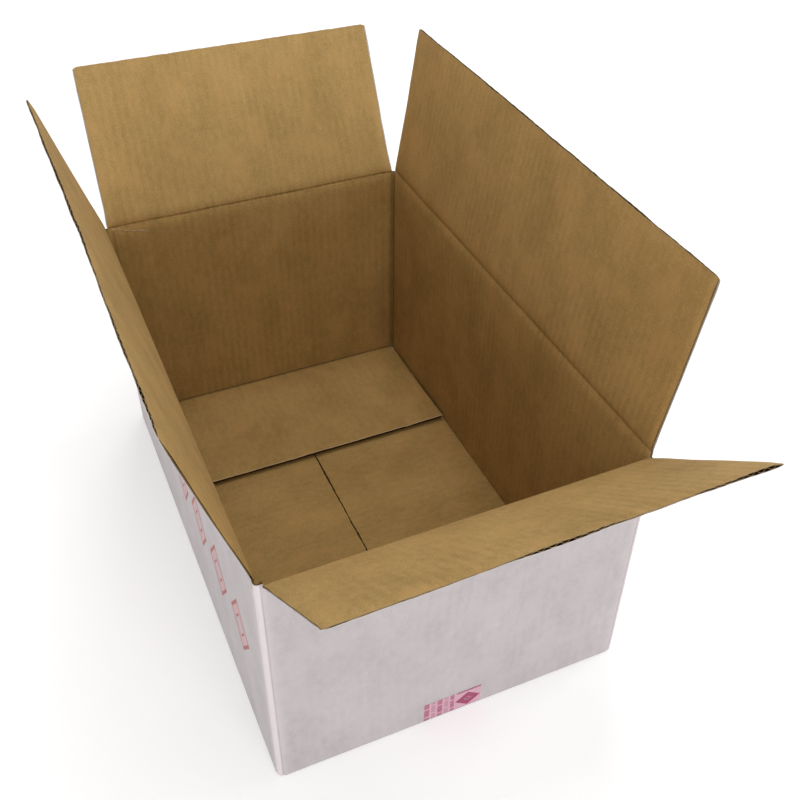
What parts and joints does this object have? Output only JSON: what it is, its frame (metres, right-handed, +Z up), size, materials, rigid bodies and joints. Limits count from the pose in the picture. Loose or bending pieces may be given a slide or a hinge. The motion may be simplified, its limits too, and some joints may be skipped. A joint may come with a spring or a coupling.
{
  "type": "corrugated shipping box",
  "caption": "Open corrugated shipping box: one folded and glued blank with four hinged top flaps, its bottom flaps closed with tape.",
  "frame": {"origin": "middle of the footprint, on the surface the box stands on", "axes": "+X across the width to the right, +Y along the length away from the front end, +Z up"},
  "size_m": [0.2986, 0.5254, 0.3096],
  "materials": {
    "board": "matte brown kraft inside and on the edges, smooth white facing outside",
    "tape": "clear glossy packing film with a magenta pattern"
  },
  "bodies": {
    "carton": {"carton_body": "board", "seam_tape": "tape"},
    "front_flap": {"front_flap": "board"},
    "back_flap": {"back_flap": "board"},
    "left_flap": {"left_flap": "board"},
    "right_flap": {"right_flap": "board"}
  },
  "joints": [
    {"name": "front_crease", "type": "hinge", "parent": "carton", "child": "front_flap", "pos_m": [0, -0.18995, 0.1895], "axis": [1, 0, 0], "range_deg": [-140, 130]},
    {"name": "back_crease", "type": "hinge", "parent": "carton", "child": "back_flap", "pos_m": [0, 0.18995, 0.1895], "axis": [-1, 0, 0], "range_deg": [-118, 152]},
    {"name": "right_crease", "type": "hinge", "parent": "carton", "child": "right_flap", "pos_m": [0.12295, 0, 0.1926], "axis": [0, 1, 0], "range_deg": [-99, 171]},
    {"name": "left_crease", "type": "hinge", "parent": "carton", "child": "left_flap", "pos_m": [-0.12295, 0, 0.1926], "axis": [0, -1, 0], "range_deg": [-107, 163]}
  ]
}
